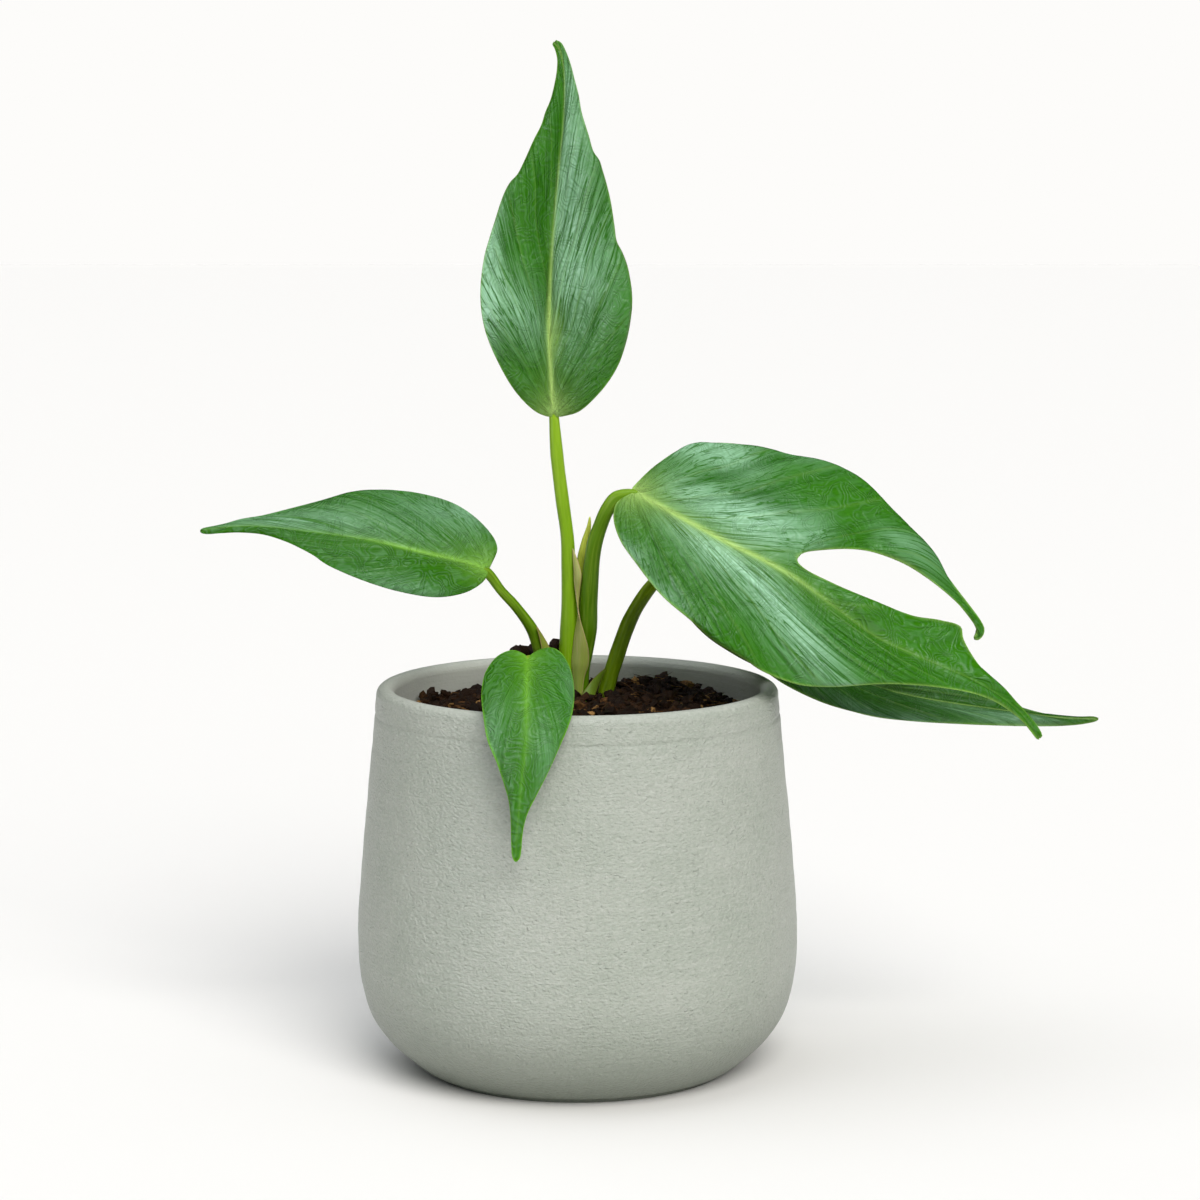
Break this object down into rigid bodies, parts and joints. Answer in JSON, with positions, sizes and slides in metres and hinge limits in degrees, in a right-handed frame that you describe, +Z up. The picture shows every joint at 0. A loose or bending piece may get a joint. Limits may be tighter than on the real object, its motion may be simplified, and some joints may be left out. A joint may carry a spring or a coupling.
{
  "type": "potted burle marx flame monstera",
  "caption": "Young flame monstera with long pointed leaves, one of them deeply split, growing in a round-bellied sage grey stoneware planter.",
  "frame": {"origin": "centre of the pot's flat underside", "axes": "+Z up, along the upright leaf; the small front leaf hangs over the rim towards -Y and the split leaf reaches out towards +X"},
  "size_m": [0.3088, 0.1613, 0.3515],
  "materials": {
    "pot_stoneware": "matte",
    "potting_mix": "matte",
    "root_tissue": "matte",
    "leaf_stalk": "satin",
    "leaf_blade": "gloss",
    "young_growth": "satin",
    "green_sheath": "matte",
    "papery_sheath": "matte"
  },
  "bodies": {
    "root": {"pot": "pot_stoneware", "potting_soil": "potting_mix", "rootstock": "root_tissue", "upright_leaf_stalk": "leaf_stalk", "upright_leaf_blade": "leaf_blade", "left_leaf_stalk": "leaf_stalk", "left_leaf_blade": "leaf_blade", "front_leaf_stalk": "leaf_stalk", "front_leaf_blade": "leaf_blade", "split_leaf_stalk": "leaf_stalk", "split_leaf_blade": "leaf_blade", "rear_leaf_stalk": "leaf_stalk", "rear_leaf_blade": "leaf_blade", "young_spear": "young_growth", "dry_sheath": "papery_sheath", "left_stalk_sheath": "green_sheath", "rear_stalk_sheath": "green_sheath"}
  },
  "joints": []
}
